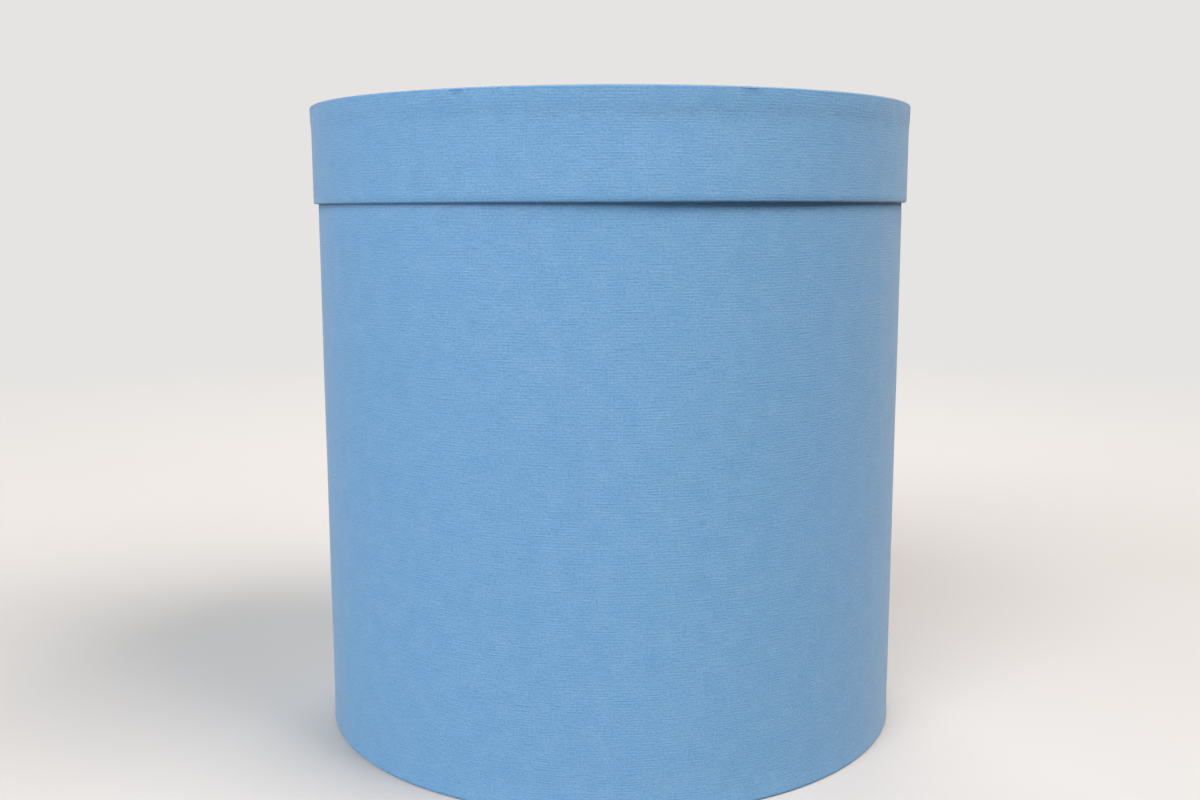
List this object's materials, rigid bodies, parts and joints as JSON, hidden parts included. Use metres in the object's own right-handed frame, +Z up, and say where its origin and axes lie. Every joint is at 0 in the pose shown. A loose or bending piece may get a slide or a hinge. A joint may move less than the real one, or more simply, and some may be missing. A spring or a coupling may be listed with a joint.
{
  "type": "flower box",
  "caption": "Round rigid paper flower box: a papered greyboard cylinder, lined inside, with a telescoping lid that lifts off.",
  "frame": {"origin": "centre of the underside, on the surface the box stands on", "axes": "+Z up along the box's axis, -Y towards the plain front, +Y towards the back half that holds the paper seams"},
  "size_m": [0.2545, 0.2544, 0.264],
  "materials": {
    "greyboard": "matte solid greyboard",
    "blue_cover_paper": "matte, linen embossed",
    "white_lining_paper": "matte, smooth",
    "kraft_tape": "matte kraft paper"
  },
  "bodies": {
    "base": {"wall_board": "greyboard", "wall_joint_tape": "kraft_tape", "bottom_board": "greyboard", "wall_wrap": "blue_cover_paper", "bottom_cover": "blue_cover_paper", "wall_liner": "white_lining_paper", "floor_liner": "white_lining_paper"},
    "lid": {"skirt_board": "greyboard", "skirt_joint_tape": "kraft_tape", "top_board": "greyboard", "top_cover": "blue_cover_paper", "skirt_wrap": "blue_cover_paper", "skirt_liner": "white_lining_paper", "top_liner": "white_lining_paper"}
  },
  "joints": [
    {"name": "lid_lift", "type": "slide", "parent": "base", "child": "lid", "axis": [0, 0, 1], "range_m": [0, 0.2]}
  ]
}
